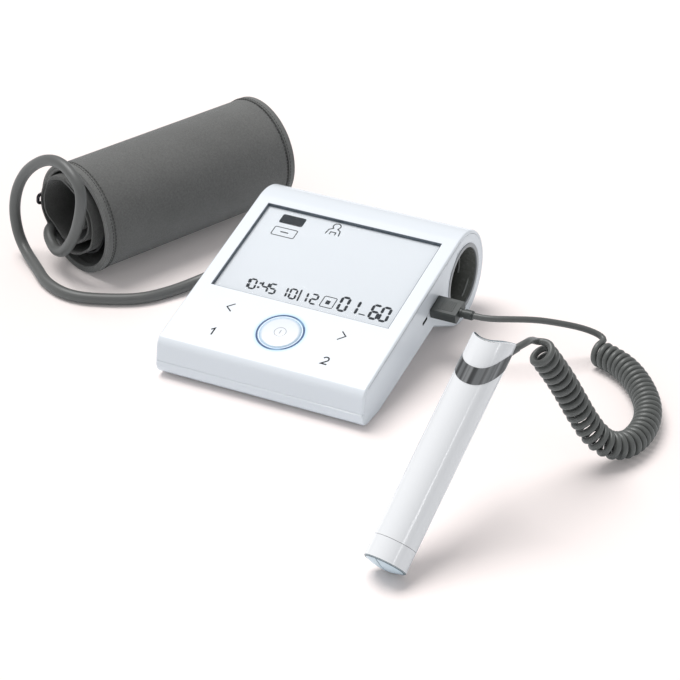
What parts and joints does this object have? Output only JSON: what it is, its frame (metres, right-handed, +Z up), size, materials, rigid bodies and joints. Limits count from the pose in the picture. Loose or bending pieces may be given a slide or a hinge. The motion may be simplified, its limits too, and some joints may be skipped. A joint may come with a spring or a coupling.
{
  "type": "upper arm blood pressure monitor",
  "caption": "Upper arm blood pressure monitor with sloping display face, start button, plug-in heart rhythm stick on a curly cord and a rolled arm cuff on its air hose.",
  "frame": {"origin": "middle of the plane on which the monitor's four feet stand", "axes": "+X to the right along the monitor's width, +Y away from the user, +Z up"},
  "size_m": [0.4978, 0.4101, 0.1127],
  "materials": {
    "white_shell": "glossy white housing plastic",
    "clear_window": "clear display window",
    "lcd": "pale reflective display panel",
    "diffuser": "milky light guide",
    "light_ring": "translucent blue light ring",
    "green_board": "glass fibre circuit board",
    "touch_foil": "printed sensor foil",
    "black_plastic": "black moulded plastic",
    "grey_plastic": "grey moulded plastic",
    "tube_plastic": "grey tube lining",
    "cell_wrap": "printed sleeve of a dry cell",
    "spring_steel": "nickel plated spring steel",
    "screw_steel": "zinc plated steel",
    "dark_steel": "blackened steel wire",
    "motor_can": "plain steel motor can",
    "plug_shell": "bright plated plug shell",
    "electrode": "dark chromed electrode",
    "foot_rubber": "grey rubber pads",
    "grip_rubber": "dark grey green overmould",
    "cord_jacket": "dark grey green cord jacket",
    "hose_rubber": "mid grey hose",
    "seal_rubber": "black seal ring",
    "inner_tube": "soft milky tubing",
    "cuff_fabric": "dark grey woven nylon",
    "cuff_edge": "dark grey edge binding",
    "bladder": "black air bladder film"
  },
  "bodies": {
    "monitor": {"top_cover": "white_shell", "base_cover": "white_shell", "display_window": "clear_window", "lcd_panel": "lcd", "backlight_plate": "diffuser", "main_board": "green_board", "touch_key_foil": "touch_foil", "button_light_ring": "light_ring", "button_switch": "black_plastic", "storage_tube": "tube_plastic", "storage_trim_ring": "grey_plastic", "battery_tray": "grey_plastic", "battery_cells": "cell_wrap", "battery_contacts": "spring_steel", "case_screws": "screw_steel", "front_feet": "foot_rubber", "rear_feet": "foot_rubber", "air_pump": "motor_can", "release_valve": "motor_can", "pressure_sensor": "black_plastic", "buzzer": "black_plastic", "inner_air_tubes": "inner_tube", "ecg_socket": "black_plastic", "data_port": "spring_steel", "air_socket": "grey_plastic"},
    "start_button": {"start_button": "white_shell"},
    "battery_door": {"battery_door": "white_shell"},
    "ecg_lead": {"ecg_plug_grip": "grip_rubber", "ecg_plug_shell": "plug_shell", "ecg_plug_insulator": "black_plastic", "ecg_plug_relief": "grip_rubber", "plug_lead": "cord_jacket", "curly_cord": "cord_jacket", "stick_lead": "cord_jacket", "stick_relief": "grip_rubber", "stick_body": "white_shell", "stick_band": "electrode", "stick_head": "white_shell", "stick_collar": "white_shell", "tail_pad_left": "white_shell", "tail_pad_right": "white_shell", "stick_board": "green_board"},
    "cuff": {"cuff_wrap": "cuff_fabric", "cuff_left_binding": "cuff_edge", "cuff_right_binding": "cuff_edge", "cuff_inner_wrap": "cuff_fabric", "cuff_bladder": "bladder", "cuff_metal_bow": "dark_steel", "hose_nipple": "grey_plastic", "air_hose": "hose_rubber", "air_plug": "grey_plastic", "air_plug_o_ring": "seal_rubber"}
  },
  "joints": [
    {"name": "start_button_press", "type": "slide", "parent": "monitor", "child": "start_button", "axis": [0, 0.2588, -0.9659], "range_m": [0, 0.0008], "stiffness_N_per_m": 1200, "springref_m": -0.0003},
    {"name": "battery_door_swing", "type": "hinge", "parent": "monitor", "child": "battery_door", "pos_m": [0, -0.05573, 0.0053], "axis": [-1, 0, 0], "range_deg": [0, 20]},
    {"name": "ecg_plug_pull", "type": "slide", "parent": "monitor", "child": "ecg_lead", "axis": [1, 0, 0], "range_m": [0, 0.014]},
    {"name": "air_plug_pull", "type": "slide", "parent": "monitor", "child": "cuff", "axis": [-1, 0, 0], "range_m": [0, 0.012]}
  ]
}
